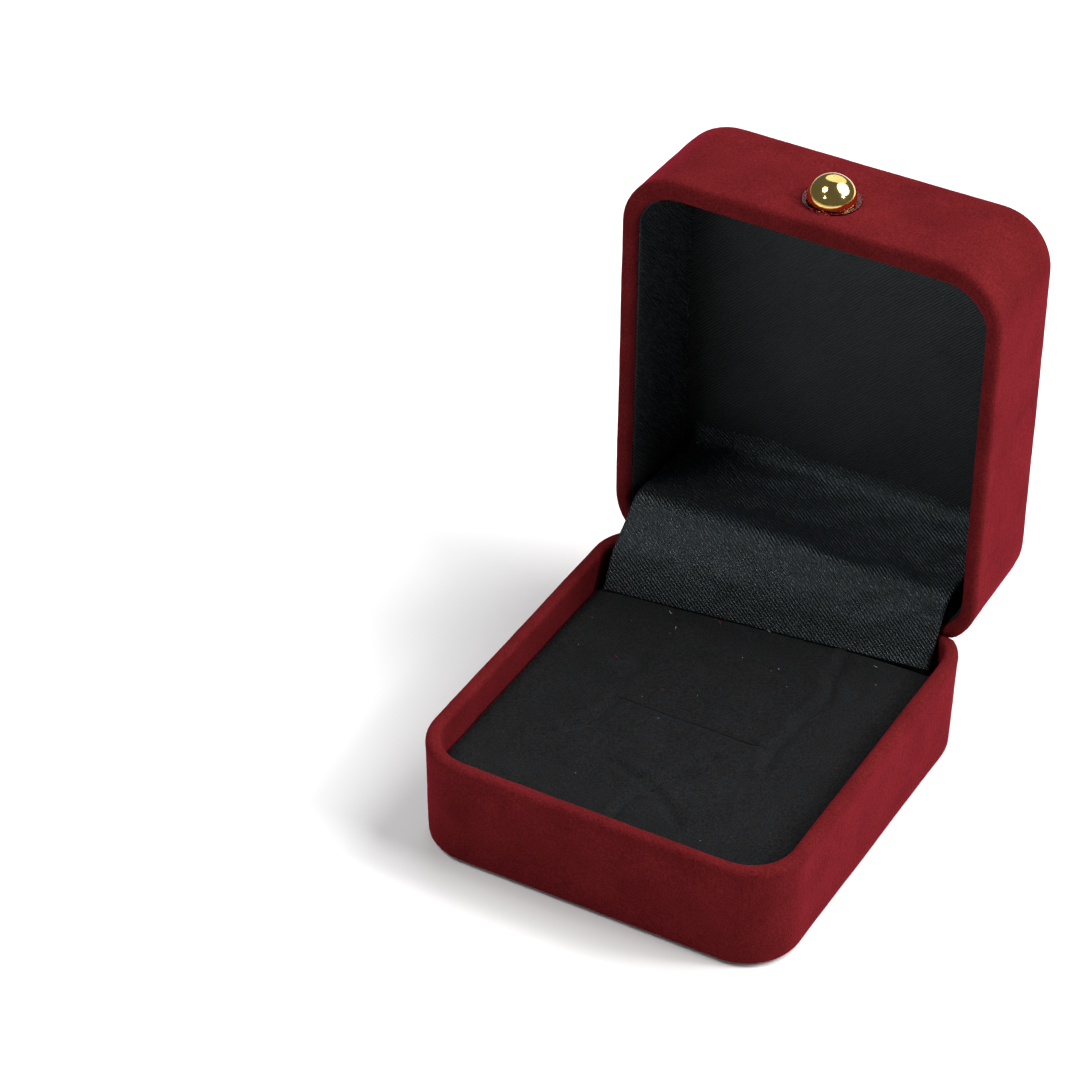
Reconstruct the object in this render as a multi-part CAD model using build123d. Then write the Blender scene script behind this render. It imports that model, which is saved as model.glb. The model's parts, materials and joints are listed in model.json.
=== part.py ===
"""Velvet ring box with a sunburst lid, a black ring pad and a gold knob.

The frame: X runs left to right, the front faces -Y, +Z is up, and the origin is the centre of the
face that the base stands on. Every size is in millimetres. The lid is drawn closed and then turned
back to its stop, because the box rests open.
"""

import os
from math import cos, radians, tan

from build123d import *

# Outside sizes at the two rims, where the closed halves meet
BASE_WIDTH = 60.0
BASE_DEPTH = 66.0
BASE_HEIGHT = 17.9
LID_WIDTH = 60.2
LID_DEPTH = 66.4
LID_HEIGHT = 22.0
RIM_GAP = 0.2
CORNER = 9.0
LID_CORNER = 9.2
DRAFT = 0.45  # how far each wall leans in over its height
BACK = BASE_DEPTH / 2  # both halves share one back face
LID_Y = BACK - LID_DEPTH / 2  # so the lid stands out over the base at the front

# Walls: a velvet skin outside a moulded shell, with the velvet's hem turned in over the rim
SKIN = 0.5
SHELL = 1.5
HEM = 0.3
WALL = SKIN + SHELL
LID_FRONT_EXTRA = 1.0  # the wall behind the knob is thicker than the others
BASE_EDGE = 1.2  # rounding along the base's bottom edge
LID_EDGE = 4.0  # rounding along the lid's top edge

# The base, from the surface upwards
FELT_THICK = 0.8
FELT_INSET = 3.0
SKIN_BOTTOM = 0.3  # the velvet stops short of the surface, so the felt alone is stood on
FLOOR = FELT_THICK + SHELL
BASE_HEM_BOTTOM = 11.0

# The pad that fills the base
PAD_GAP = 0.3
PAD_BACK = 26.0
PAD_BACK_CORNER = 1.0  # the pad is cut square where the satin covers it
PAD_CARD = 1.0
PAD_SKIN = 0.5
PAD_BELOW_RIM = 4.5
SLIT_LENGTH = 24.0
SLIT_WIDTH = 0.5
SLIT_DEPTH = 8.0
SLIT_Y = -2.0
NOTCH_X = 12.3
NOTCH_Y = 19.0
NOTCH_LENGTH = 2.6

# The lid, drawn closed
LID_RIM = BASE_HEIGHT + RIM_GAP
LID_TOP = LID_RIM + LID_HEIGHT
POCKET_DEPTH = 1.6  # the sunburst lies in this recess
LIP = 3.2  # velvet border beside and behind the recess
LIP_FRONT = 2.8  # the border in front is narrower
POCKET_CORNER = 6.0
PLATE = 1.2
SUNBURST_CORE = 0.6
SUNBURST_SKIN = 0.5
LID_HEM = 2.5
TOP_CARD = 0.5
TOP_SATIN = 0.3
WALL_CARD = HEM
WALL_SATIN = 0.25
SATIN_START = 1.4  # the satin begins this far inside the rim

# The hinge
OPEN_ANGLE = 90.0
STOP_RELIEF = 0.8  # each bevel leans this many degrees back from the plane where they would meet
HINGE_Y = 30.0
HINGE_Z = BASE_HEIGHT + RIM_GAP / 2
HINGE_LENGTH = 40.0
KNUCKLES = 5
KNUCKLE_GAP = 0.2
BARREL_R = 1.0
PIN_R = 0.5
PIN_CLEARANCE = 0.06
LEAF = 0.4
LEAF_HEIGHT = 9.0
LEAF_START = 1.6  # the plates stop this far from the pin, clear of the other leaf's barrels
TAB_FRONT = 0.5  # the tabs' near face, behind the pin's axis
TAB_REACH = 2.2
RIVETS_X = (-14.0, 0.0, 14.0)
RIVET_R = 0.7
RIVET_HEAD_R = 1.3
RIVET_HEAD = 0.3
RIVET_GRIP = 0.8  # how deep a rivet goes into the shell
RIVET_BELOW = 6.5  # from the pin down, or up, to the rivets
BAY_HALF = HINGE_LENGTH / 2 + 0.6

# The satin flap over the hinge, in the open pose, from the base up and into the lid
FLAP_WIDTH = 51.0
FLAP_THICK = 0.4
FLAP_POINTS = ((26.7, 5.0), (26.7, 14.5), (29.0, 23.4), (32.6, 24.9), (48.2, 23.9))
FLAP_RADII = (6.0, 2.6, 6.0)

# The knob
BALL_R = 3.7  # half a ball, with its flat face on the washer
KNOB_ABOVE_RIM = 7.2
KNOB_STANDOFF = 0.1  # from the leaning velvet to the flat back of the washer
WASHER_R = 4.4
WASHER_THICK = 0.3
STEM_R = 1.0
STEM_IN_BALL = 2.0
PUSH_NUT_R = 2.6

# Numbers that follow from the ones above
SPAN = 200.0  # longer than the box every way, for cutting
BACK_INSIDE = BACK - WALL
PAD_TOP = BASE_HEIGHT - PAD_BELOW_RIM
POCKET_FLOOR = LID_TOP - POCKET_DEPTH
PLATE_BELOW = POCKET_FLOOR - PLATE
CARD_BELOW = PLATE_BELOW - TOP_CARD
SATIN_BELOW = CARD_BELOW - TOP_SATIN
KNOB_Z = LID_RIM + KNOB_ABOVE_RIM
FRONT_FACE = LID_Y - LID_DEPTH / 2 + DRAFT * KNOB_ABOVE_RIM / LID_HEIGHT
WASHER_BACK = FRONT_FACE - KNOB_STANDOFF
WASHER_FRONT = WASHER_BACK - WASHER_THICK
FRONT_INSIDE = LID_Y - LID_DEPTH / 2 + WALL + LID_FRONT_EXTRA


def rounded_block(width, depth, corner, low, high, y=0.0):
    """An upright block with rounded corners, centred on X = 0."""
    outline = Pos(0, y, low) * RectangleRounded(width, depth, corner)
    return extrude(outline, high - low)


def leaning_block(width, depth, corner, rim, end, y=0.0):
    """A block that is widest at its rim and leans in by DRAFT towards its other end."""
    wide = Pos(0, y, rim) * RectangleRounded(width, depth, corner)
    narrow = Pos(0, y, end) * RectangleRounded(width - 2 * DRAFT, depth - 2 * DRAFT, corner)
    return loft([wide, narrow])


def base_block(inset, low, high):
    """The base's upright inner space, inset from its rim."""
    return rounded_block(BASE_WIDTH - 2 * inset, BASE_DEPTH - 2 * inset, CORNER - inset, low, high)


def lid_block(inset, low, high):
    """The lid's upright inner space, inset from its rim, and further at the front."""
    width = LID_WIDTH - 2 * inset
    depth = LID_DEPTH - 2 * inset - LID_FRONT_EXTRA
    middle = LID_Y + LID_FRONT_EXTRA / 2
    return rounded_block(width, depth, LID_CORNER - inset, low, high, middle)


def bar(x_size, low, high):
    """A box across X = 0 between two (y, z) corners."""
    size_y = high[0] - low[0]
    size_z = high[1] - low[1]
    return Pos(0, low[0] + size_y / 2, low[1] + size_z / 2) * Box(x_size, size_y, size_z)


def cross_cylinder(radius, x_low, x_high, y, z):
    """A cylinder along X."""
    place = Pos((x_low + x_high) / 2, y, z) * Rot(0, 90, 0)
    return place * Cylinder(radius, x_high - x_low)


def front_cylinder(radius, y_low, y_high, x, z):
    """A cylinder along Y."""
    return Pos(x, (y_low + y_high) / 2, z) * Rot(90, 0, 0) * Cylinder(radius, y_high - y_low)


def stop_cut(inset, side):
    """What lies past a bevelled back rim: side is 1 above the base's, -1 below the lid's."""
    slope = tan(radians(OPEN_ANGLE / 2 + STOP_RELIEF))
    drop = inset / cos(radians(OPEN_ANGLE / 2 + STOP_RELIEF))
    reach = 20.0
    near = (HINGE_Y, HINGE_Z - side * drop)
    far = (HINGE_Y + reach, HINGE_Z - side * (drop + slope * reach))
    far_over = (HINGE_Y + reach, HINGE_Z + side * reach)
    near_over = (HINGE_Y, HINGE_Z + side * reach)
    outline = make_face(Polyline(near, far, far_over, near_over, close=True))
    return extrude(Plane.YZ * outline, SPAN / 2, both=True)


def hinge_bay():
    """The room in front of both back walls where the hinge sits."""
    return bar(2 * BAY_HALF, (PAD_BACK, 0), (BACK_INSIDE, LID_TOP))


def pad_block(inset, low, high):
    """A block with the pad's outline, which stops short of the hinge."""
    half = BASE_WIDTH / 2 - WALL - HEM - PAD_GAP - inset
    front = -(BASE_DEPTH / 2 - WALL - HEM - PAD_GAP - inset)
    back = PAD_BACK - inset
    outline = Pos(0, (front + back) / 2, low) * Rectangle(2 * half, back - front)
    front_corners = outline.vertices().group_by(Axis.Y)[0]
    outline = fillet(front_corners, CORNER - WALL - HEM - PAD_GAP - inset)
    back_corners = outline.vertices().group_by(Axis.Y)[-1]
    outline = fillet(back_corners, PAD_BACK_CORNER - inset)
    return extrude(outline, high - low)


def pad_cuts():
    """The ring slit and the two short notches behind it."""
    middle = PAD_TOP - SLIT_DEPTH / 2
    cuts = Pos(0, SLIT_Y, middle) * Box(SLIT_LENGTH, SLIT_WIDTH, SLIT_DEPTH)
    for x in (-NOTCH_X, NOTCH_X):
        cuts += Pos(x, NOTCH_Y, middle) * Box(NOTCH_LENGTH, SLIT_WIDTH, SLIT_DEPTH)
    return cuts


def pocket_block(widen, low, high):
    """The recess in the lid's top, which the sunburst fills."""
    half = LID_WIDTH / 2 - LIP + widen
    front = LID_Y - LID_DEPTH / 2 + LIP_FRONT - widen
    back = LID_Y + LID_DEPTH / 2 - LIP + widen
    return rounded_block(2 * half, back - front, POCKET_CORNER + widen, low, high, (front + back) / 2)


def base_parts():
    """The base's shell, its velvet cover, the felt under it and the pad inside."""
    outside = leaning_block(BASE_WIDTH, BASE_DEPTH, CORNER, BASE_HEIGHT, SKIN_BOTTOM)
    outside = fillet(outside.faces().sort_by(Axis.Z)[0].edges(), BASE_EDGE)
    inner_width = BASE_WIDTH - 2 * SKIN
    inner_depth = BASE_DEPTH - 2 * SKIN
    core = leaning_block(inner_width, inner_depth, CORNER - SKIN, BASE_HEIGHT - SKIN, FELT_THICK)
    core = fillet(core.faces().sort_by(Axis.Z)[0].edges(), BASE_EDGE - SKIN)
    core -= stop_cut(SKIN, 1)
    shell = core - base_block(WALL, FLOOR, SPAN)
    felt = base_block(FELT_INSET, 0, FELT_THICK)
    hem = base_block(WALL, BASE_HEM_BOTTOM, BASE_HEIGHT)
    cover = outside - core + hem - base_block(WALL + HEM, FELT_THICK, SPAN)
    cover = cover - stop_cut(0, 1) - hinge_bay() - felt
    card_top = FLOOR + PAD_CARD
    foam = pad_block(PAD_SKIN, card_top, PAD_TOP - PAD_SKIN)
    padding = pad_block(0, card_top, PAD_TOP) - foam
    return {
        "base_shell": shell,
        "base_velvet_cover": cover,
        "base_felt": felt,
        "pad_card": pad_block(0, FLOOR, card_top),
        "pad_foam": foam - pad_cuts(),
        "pad_velvet": padding - pad_cuts(),
    }


def lid_parts():
    """The lid's shell, its velvet cover, the sunburst on top and the satin lining inside."""
    outside = leaning_block(LID_WIDTH, LID_DEPTH, LID_CORNER, LID_RIM, LID_TOP, LID_Y)
    outside = fillet(outside.faces().sort_by(Axis.Z)[-1].edges(), LID_EDGE)
    inner_width = LID_WIDTH - 2 * SKIN
    inner_depth = LID_DEPTH - 2 * SKIN
    rim = LID_RIM + SKIN
    top = LID_TOP - SKIN
    core = leaning_block(inner_width, inner_depth, LID_CORNER - SKIN, rim, top, LID_Y)
    core = fillet(core.faces().sort_by(Axis.Z)[-1].edges(), LID_EDGE - SKIN)
    core = core - stop_cut(SKIN, -1) - pocket_block(SKIN, POCKET_FLOOR, SPAN)
    stem_hole = front_cylinder(STEM_R, FRONT_FACE - SKIN, FRONT_INSIDE, 0, KNOB_Z)
    nut_hole = front_cylinder(PUSH_NUT_R, FRONT_INSIDE, FRONT_INSIDE + WALL_CARD, 0, KNOB_Z)
    shell = core - lid_block(WALL, 0, PLATE_BELOW) - stem_hole
    hem = lid_block(WALL, LID_RIM, LID_RIM + LID_HEM)
    cover = outside - core + hem - lid_block(WALL + HEM, 0, LID_RIM + LID_HEM)
    cover = cover - pocket_block(0, POCKET_FLOOR, SPAN) - stop_cut(0, -1) - hinge_bay() - stem_hole
    core_top = POCKET_FLOOR + SUNBURST_CORE
    lining_inset = WALL + WALL_CARD
    wall_card = lid_block(WALL, LID_RIM + LID_HEM, CARD_BELOW) - lid_block(lining_inset, 0, SPAN)
    wall_satin = lid_block(lining_inset, LID_RIM + SATIN_START, SATIN_BELOW)
    wall_satin -= lid_block(lining_inset + WALL_SATIN, 0, SPAN)
    return {
        "lid_shell": shell,
        "lid_velvet_cover": cover,
        "sunburst_core": pocket_block(0, POCKET_FLOOR, core_top),
        "sunburst_velvet": pocket_block(0, core_top, core_top + SUNBURST_SKIN),
        "lid_top_card": lid_block(WALL, CARD_BELOW, PLATE_BELOW),
        "lid_top_satin": lid_block(lining_inset, SATIN_BELOW, CARD_BELOW),
        "lid_wall_card": wall_card - hinge_bay() - nut_hole,
        "lid_wall_satin": wall_satin - hinge_bay(),
    }


def knuckle_spans(first):
    """Every other knuckle along the pin, as pairs of x, starting at the first-th."""
    pitch = HINGE_LENGTH / KNUCKLES
    spans = []
    for index in range(first, KNUCKLES, 2):
        low = -HINGE_LENGTH / 2 + index * pitch + KNUCKLE_GAP / 2
        spans.append((low, low + pitch - KNUCKLE_GAP))
    return spans


def hinge_leaf(side, spans, bore):
    """A pressed leaf with rolled barrels: side is -1 for the base's, 1 for the lid's."""
    near = HINGE_Z + side * LEAF_START
    far = HINGE_Z + side * (LEAF_START + LEAF_HEIGHT)
    leaf = bar(HINGE_LENGTH, (BACK_INSIDE - LEAF, min(near, far)), (BACK_INSIDE, max(near, far)))
    tab_end = HINGE_Z + side * TAB_REACH
    tab_low = (HINGE_Y + TAB_FRONT, min(HINGE_Z, tab_end))
    tab_high = (HINGE_Y + TAB_FRONT + LEAF, max(HINGE_Z, tab_end))
    for low, high in spans:
        leaf += Pos((low + high) / 2, 0, 0) * bar(high - low, tab_low, tab_high)
        leaf += cross_cylinder(BARREL_R, low, high, HINGE_Y, HINGE_Z)
    return leaf - cross_cylinder(bore, -SPAN / 2, SPAN / 2, HINGE_Y, HINGE_Z)


def rivets(side):
    """The three rivets that hold a leaf to its shell, as separate solids."""
    z = HINGE_Z + side * RIVET_BELOW
    face = BACK_INSIDE - LEAF
    row = []
    for x in RIVETS_X:
        shank = front_cylinder(RIVET_R, face, BACK_INSIDE + RIVET_GRIP, x, z)
        head = front_cylinder(RIVET_HEAD_R, face - RIVET_HEAD, face, x, z)
        row.append(shank + head)
    return row


def knob_parts():
    """The gold half ball on its stem, the clear washer behind it and the push nut inside."""
    in_front = bar(SPAN, (WASHER_FRONT - SPAN, KNOB_Z - SPAN / 2), (WASHER_FRONT, KNOB_Z + SPAN / 2))
    stem_end = FRONT_INSIDE + WALL_CARD
    stem = front_cylinder(STEM_R, WASHER_FRONT - STEM_IN_BALL, stem_end, 0, KNOB_Z)
    washer = front_cylinder(WASHER_R, WASHER_FRONT, WASHER_BACK, 0, KNOB_Z)
    washer = fillet(washer.faces().sort_by(Axis.Y)[0].edges(), WASHER_THICK / 2)
    nut = front_cylinder(PUSH_NUT_R, FRONT_INSIDE, stem_end, 0, KNOB_Z)
    return {
        "knob_ball": (Pos(0, WASHER_FRONT, KNOB_Z) * Sphere(BALL_R) & in_front) - stem,
        "knob_stem": stem,
        "knob_washer": washer - stem,
        "knob_push_nut": nut - stem,
    }


def satin_flap():
    """The loose strip of satin that hides the hinge, as it lies with the box open."""
    path = FilletPolyline(*FLAP_POINTS, radius=FLAP_RADII)
    outline = make_face(offset(path, FLAP_THICK / 2, side=Side.BOTH).edges())
    return extrude(Plane.YZ * outline, FLAP_WIDTH / 2, both=True)


def main():
    """Make every piece, turn the lid's pieces to the open stop, and write the files."""
    base = base_parts()
    lid = lid_parts()
    base_rivets = rivets(-1)
    lid_rivets = rivets(1)
    base["hinge_base_leaf"] = hinge_leaf(-1, knuckle_spans(0), PIN_R) - base_rivets
    base["base_shell"] -= base_rivets
    base["hinge_base_rivets"] = Compound(base_rivets)
    pin_half = HINGE_LENGTH / 2
    base["hinge_pin"] = cross_cylinder(PIN_R, -pin_half, pin_half, HINGE_Y, HINGE_Z)
    lid["hinge_lid_leaf"] = hinge_leaf(1, knuckle_spans(1), PIN_R + PIN_CLEARANCE) - lid_rivets
    lid["lid_shell"] -= lid_rivets
    lid["hinge_lid_rivets"] = Compound(lid_rivets)
    lid.update(knob_parts())
    hinge_axis = Axis((0, HINGE_Y, HINGE_Z), (1, 0, 0))
    pieces = dict(base)
    for name, shape in lid.items():
        pieces[name] = shape.rotate(hinge_axis, -OPEN_ANGLE)
    pieces["satin_flap"] = satin_flap()
    os.makedirs("parts", exist_ok=True)
    for name, shape in pieces.items():
        export_step(shape, f"parts/{name}.step")


main()
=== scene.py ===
"""Looks of the velvet ring box: velvet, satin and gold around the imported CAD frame.

Lengths are in millimetres up to add_mesh, which turns them into metres. Pieces of the lid are drawn
closed, as a level lid on a level base, and add_mesh turns them back to the open stop.
"""

import json
from math import acos, atan2, cos, degrees, exp, hypot, pi, radians, sin, sqrt, tan

import bmesh
import bpy
import numpy as np
from mathutils import Matrix, Vector, noise


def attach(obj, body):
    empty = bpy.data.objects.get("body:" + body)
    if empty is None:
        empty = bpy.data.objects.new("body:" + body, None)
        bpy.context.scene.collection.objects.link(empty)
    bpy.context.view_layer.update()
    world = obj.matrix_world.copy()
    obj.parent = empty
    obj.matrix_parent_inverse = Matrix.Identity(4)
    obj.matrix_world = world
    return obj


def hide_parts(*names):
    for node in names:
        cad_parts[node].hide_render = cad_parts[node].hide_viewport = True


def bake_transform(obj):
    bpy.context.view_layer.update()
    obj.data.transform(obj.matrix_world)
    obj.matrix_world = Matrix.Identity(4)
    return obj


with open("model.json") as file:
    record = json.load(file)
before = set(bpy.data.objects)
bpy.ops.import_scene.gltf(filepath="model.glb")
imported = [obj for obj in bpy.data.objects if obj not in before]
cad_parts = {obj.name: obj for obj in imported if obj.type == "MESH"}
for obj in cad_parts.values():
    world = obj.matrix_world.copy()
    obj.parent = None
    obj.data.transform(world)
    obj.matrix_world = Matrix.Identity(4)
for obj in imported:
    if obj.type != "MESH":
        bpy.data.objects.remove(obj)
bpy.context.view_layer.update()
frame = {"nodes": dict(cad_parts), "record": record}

MM = 0.001
JOINT = frame["record"]["behaviour"]["joints"][0]
HINGE_Y = JOINT["pos_m"][1] / MM
HINGE_Z = JOINT["pos_m"][2] / MM
OPEN_ANGLE = JOINT["range_deg"][1]
OPENING = (
    Matrix.Translation((0, HINGE_Y * MM, HINGE_Z * MM))
    @ Matrix.Rotation(radians(-OPEN_ANGLE), 4, "X")
    @ Matrix.Translation((0, -HINGE_Y * MM, -HINGE_Z * MM))
)


def node_box(node, closed=False):
    """A CAD node's lowest and highest corners in millimetres, as drawn or with the lid closed."""
    turn = OPENING.inverted() if closed else Matrix.Identity(4)
    points = np.array([turn @ v.co for v in frame["nodes"][node].data.vertices]) / MM
    return points.min(0), points.max(0)


# The outside of both halves, from the frame
base_low, base_high = node_box("base_velvet_cover")
lid_low, lid_high = node_box("lid_velvet_cover", closed=True)
BASE_HALF = base_high[0]
BASE_FRONT = base_low[1]
BASE_BACK = -BASE_FRONT
BASE_RIM = base_high[2]
BASE_BOTTOM = base_low[2]
LID_HALF = lid_high[0]
LID_FRONT = lid_low[1]
LID_BACK = BASE_BACK
LID_RIM = lid_low[2]
LID_TOP = lid_high[2]

# Walls, as thick as the CAD's
SKIN = 0.5  # the velvet
WALL = 2.0  # shell and velvet
HEM = 0.3  # the velvet that is turned in over the rim
LINING = WALL + HEM
LID_FRONT_EXTRA = 1.0  # the wall behind the knob is thicker than the others
DRAFT = 0.45  # how far each wall leans in over its height

# Rounded edges
CORNER = 9.0
LID_CORNER = 9.2
BASE_EDGE = 1.2
LID_EDGE = 4.0
RIM_OUTER_ROLL = 1.0
RIM_INNER_ROLL = 0.8

# Where the velvet ends: under the felt, inside both rims and over the lip of the lid's recess
FELT_INSET = 3.0
BASE_HEM_BOTTOM = 11.0
LID_HEM = 2.5
LIP = 3.2
LIP_FRONT = 2.8
LIP_ROLL = 0.4
POCKET_DEPTH = 1.6

# The back rims are bevelled, so that they meet with the lid open
BEVEL_RELIEF = 0.8  # degrees between the velvet's bevel and the plane where the halves meet
BEVEL = radians(OPEN_ANGLE / 2 + BEVEL_RELIEF)
BEVEL_SLOPE = tan(BEVEL)
BEVEL_SKIN = SKIN / cos(BEVEL)

# The turned-in velvet makes room for the hinge in the middle of both back walls
BAY_HALF = 20.6
BAY_FRONT = 26.0
BAY_HEM = 0.05  # as thin as the turned-in velvet gets there
WALL_INSIDE = BASE_BACK - WALL


def arc(count, start, end):
    """Angles in radians from start to end, both in degrees and both included."""
    return [radians(start + (end - start) * i / (count - 1)) for i in range(count)]


def between(start, end, count):
    """Evenly spaced values from start to end, both included."""
    return [start + (end - start) * i / (count - 1) for i in range(count)]


def soft_min(a, b, width=0.8):
    """The lower of two heights, with the corner between them rounded off."""
    near = max(width - abs(a - b), 0) / width
    return min(a, b) - near * near * width / 4


def smooth(low, high, value):
    """0 below low, 1 above high, and a smooth step between them."""
    t = min(max((value - low) / (high - low), 0), 1)
    return t * t * (3 - 2 * t)


def waver(point, size, amount, seed=0.0):
    """Smooth unevenness of about one wave per size, at most amount either way."""
    return amount * noise.noise(Vector(point) / size + Vector((seed, -seed, seed)))


def ring(half, front, back, corner, step=1.5, turns=12):
    """Stations round a rounded rectangle, each an anchor and the outward direction there. They are
    about step apart along its sides, and turns of them go round each corner."""
    right = half - corner
    low = front + corner
    high = back - corner
    corners = [(right, low, -90), (right, high, 0), (-right, high, 90), (-right, low, 180)]
    stations = []
    for i, (x, y, angle) in enumerate(corners):
        for turn in arc(turns + 1, angle, angle + 90)[:-1]:
            stations.append(((x, y), (cos(turn), sin(turn))))
        next_x, next_y, next_angle = corners[(i + 1) % 4]
        count = max(2, round(hypot(next_x - x, next_y - y) / step))
        direction = (cos(radians(next_angle)), sin(radians(next_angle)))
        for k in range(count):
            share = k / count
            anchor = (x + (next_x - x) * share, y + (next_y - y) * share)
            stations.append((anchor, direction))
    return stations


def grid_border(rows, columns):
    """The points round the outside of a grid, in order."""
    border = list(range(columns))
    border += [row * columns + columns - 1 for row in range(1, rows)]
    border += [(rows - 1) * columns + column for column in range(columns - 2, -1, -1)]
    return border + [row * columns for row in range(rows - 2, 0, -1)]


def grid_faces(rows, columns, loop_rows=False, loop_columns=False):
    """Quads over a grid of points stored row by row."""
    faces = []
    for i in range(rows if loop_rows else rows - 1):
        for j in range(columns if loop_columns else columns - 1):
            next_i = (i + 1) % rows
            next_j = (j + 1) % columns
            corners = (i * columns + j, i * columns + next_j)
            faces.append(corners + (next_i * columns + next_j, next_i * columns + j))
    return faces


def band(first, second):
    """Quads between two closed loops of points, each given as their numbers in order."""
    steps = [(k, (k + 1) % len(first)) for k in range(len(first))]
    return [(first[k], first[after], second[after], second[k]) for k, after in steps]


def fan(centre, loop):
    """Triangles from one point to a closed loop of points."""
    return [(centre, loop[k], loop[(k + 1) % len(loop)]) for k in range(len(loop))]


def add_mesh(name, points, faces, material, closed=False, uv=None):
    """A smooth mesh object from points in millimetres. Closed points are turned open."""
    turn = OPENING if closed else Matrix.Identity(4)
    mesh = bpy.data.meshes.new(name)
    mesh.from_pydata([turn @ (Vector(p) * MM) for p in points], [], faces)
    if uv:
        layer = mesh.uv_layers.new(name="weave")
        for item in mesh.loops:
            layer.data[item.index].uv = uv[item.vertex_index]
    made = bmesh.new()
    made.from_mesh(mesh)
    bmesh.ops.recalc_face_normals(made, faces=made.faces)
    made.to_mesh(mesh)
    made.free()
    mesh.polygons.foreach_set("use_smooth", [True] * len(mesh.polygons))
    mesh.materials.append(material)
    piece = bpy.data.objects.new(name, mesh)
    bpy.context.scene.collection.objects.link(piece)
    return piece


# ---- materials


def input_name(key):
    """A node input's name from a keyword: Specular IOR Level from specular_ior_level."""
    return key.replace("_", " ").title().replace("Ior", "IOR")


class Shader:
    """A new material with a Principled shader, and short ways to add nodes to it."""

    def __init__(self, name, **values):
        self.material = bpy.data.materials.new(name)
        self.material.use_nodes = True
        self.tree = self.material.node_tree
        self.main = self.tree.nodes["Principled BSDF"]
        for key, value in values.items():
            self.main.inputs[input_name(key)].default_value = value

    def node(self, kind, **settings):
        """Adds a node. Settings that name an input set its value."""
        made = self.tree.nodes.new(kind)
        for key, value in settings.items():
            if hasattr(made, key):
                setattr(made, key, value)
            else:
                made.inputs[input_name(key)].default_value = value
        return made

    def link(self, output, target):
        self.tree.links.new(output, target)

    def place(self, uv=False):
        """Where a texture sits: in the piece's own space, or along the cloth's threads."""
        kind = "UV" if uv else "Object"
        return self.node("ShaderNodeTexCoord").outputs[kind]

    def noise(self, size, detail=3.0, roughness=0.55, stretch=(1, 1, 1), uv=False):
        """Noise of about one speck per size, in millimetres."""
        place = self.place(uv)
        if stretch != (1, 1, 1):
            mapping = self.node("ShaderNodeMapping", scale=stretch)
            self.link(place, mapping.inputs["Vector"])
            place = mapping.outputs["Vector"]
        unit = 1.0 if uv else MM
        scale = 1 / (size * unit)
        made = self.node("ShaderNodeTexNoise", scale=scale, detail=detail, roughness=roughness)
        self.link(place, made.inputs["Vector"])
        return made.outputs["Fac"]

    def ramp(self, factor, stops):
        """A colour that follows factor, from (position, colour) stops."""
        made = self.node("ShaderNodeValToRGB")
        elements = made.color_ramp.elements
        while len(elements) < len(stops):
            elements.new(0.5)
        for element, (position, colour) in zip(elements, stops):
            element.position = position
            element.color = (*colour, 1)
        self.link(factor, made.inputs["Fac"])
        return made.outputs["Color"]

    def math(self, kind, first, second):
        """One sum of two values, each a number or an output."""
        made = self.node("ShaderNodeMath", operation=kind)
        for value, target in zip((first, second), made.inputs):
            if isinstance(value, (int, float)):
                target.default_value = value
            else:
                self.link(value, target)
        return made.outputs["Value"]

    def mix(self, factor, first, second, blend="MIX"):
        """Two colours mixed, each a colour or an output."""
        made = self.node("ShaderNodeMix", data_type="RGBA", blend_type=blend)
        values = ((factor, made.inputs[0]), (first, made.inputs[6]), (second, made.inputs[7]))
        for value, target in values:
            if isinstance(value, (int, float)):
                target.default_value = value
            elif isinstance(value, tuple):
                target.default_value = (*value, 1)
            else:
                self.link(value, target)
        return made.outputs[2]

    def bump(self, height, distance, strength=1.0):
        """Fine relief on the surface, distance millimetres high."""
        made = self.node("ShaderNodeBump", strength=strength, distance=distance * MM)
        self.link(height, made.inputs["Height"])
        previous = self.main.inputs["Normal"].links
        if previous:
            self.link(previous[0].from_socket, made.inputs["Normal"])
        self.link(made.outputs["Normal"], self.main.inputs["Normal"])


def scaled(colour, share):
    """A colour made darker or lighter."""
    return tuple(channel * share for channel in colour)


def grey(level):
    """A grey of one level, which a ramp also takes for a plain value."""
    return (level,) * 3


def velvet(name, colour, sheen, sheen_weight, nap, grain):
    """Flocked cloth: short dense pile with a soft sheen, brushed patches and a fine grain."""
    made = Shader(
        name,
        roughness=0.9,
        specular_ior_level=0.0,
        sheen_weight=sheen_weight,
        sheen_roughness=0.3,
        sheen_tint=(*sheen, 1),
    )
    patches = made.noise(size=7.0)
    specks = made.noise(size=0.28, detail=2.0, roughness=0.7)
    strands = made.noise(size=0.55, roughness=0.6, stretch=(1, 1, 0.45))
    broad = made.ramp(patches, [(0.3, scaled(colour, 1 - nap)), (0.7, scaled(colour, 1 + nap))])
    fine = made.ramp(specks, [(0.3, grey(1 - grain)), (0.75, grey(1 + grain))])
    made.link(made.mix(1.0, broad, fine, "MULTIPLY"), made.main.inputs["Base Color"])
    made.bump(strands, distance=0.10)
    made.bump(specks, distance=0.07)
    made.bump(patches, distance=0.25, strength=0.4)
    return made.material


TWILL_PITCH = 0.42  # the distance between the twill's lines
TWILL_ANGLE = -46  # degrees from the cloth's length to the lines of its twill
WAVE_PERIOD = 0.314  # the distance between a wave texture's lines at a scale of 1


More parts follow.
